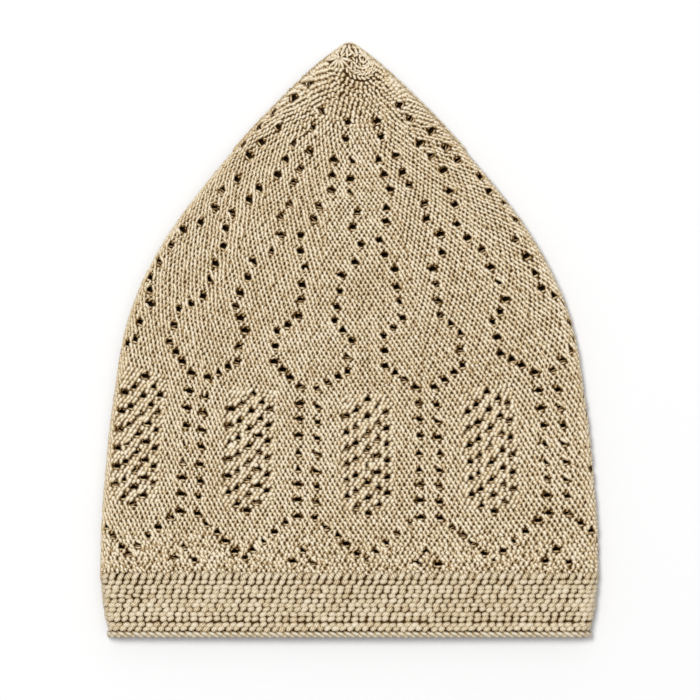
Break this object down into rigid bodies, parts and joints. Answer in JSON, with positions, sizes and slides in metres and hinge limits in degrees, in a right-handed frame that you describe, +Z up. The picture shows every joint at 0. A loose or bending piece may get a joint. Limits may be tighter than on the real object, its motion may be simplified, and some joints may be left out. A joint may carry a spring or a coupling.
{
  "type": "kufi",
  "caption": "Crocheted pointed cap with a pierced lace crown, a plain close-stitched band and a corded rim, lying folded flat on its back.",
  "frame": {"origin": "under the middle of the folded cap, on the surface that it lies on", "axes": "+X across the cap, +Y from the rim to the tip, +Z up out of the front layer"},
  "size_m": [0.2204, 0.2622, 0.0125],
  "materials": {
    "crown_yarn": "matt twisted cotton with a slight sheen, beige",
    "band_yarn": "matt twisted cotton with a slight sheen, beige",
    "edging_yarn": "matt twisted cotton with a slight sheen, beige"
  },
  "bodies": {
    "root": {"crown": "crown_yarn", "band": "band_yarn", "rim_edging": "edging_yarn"}
  },
  "joints": []
}
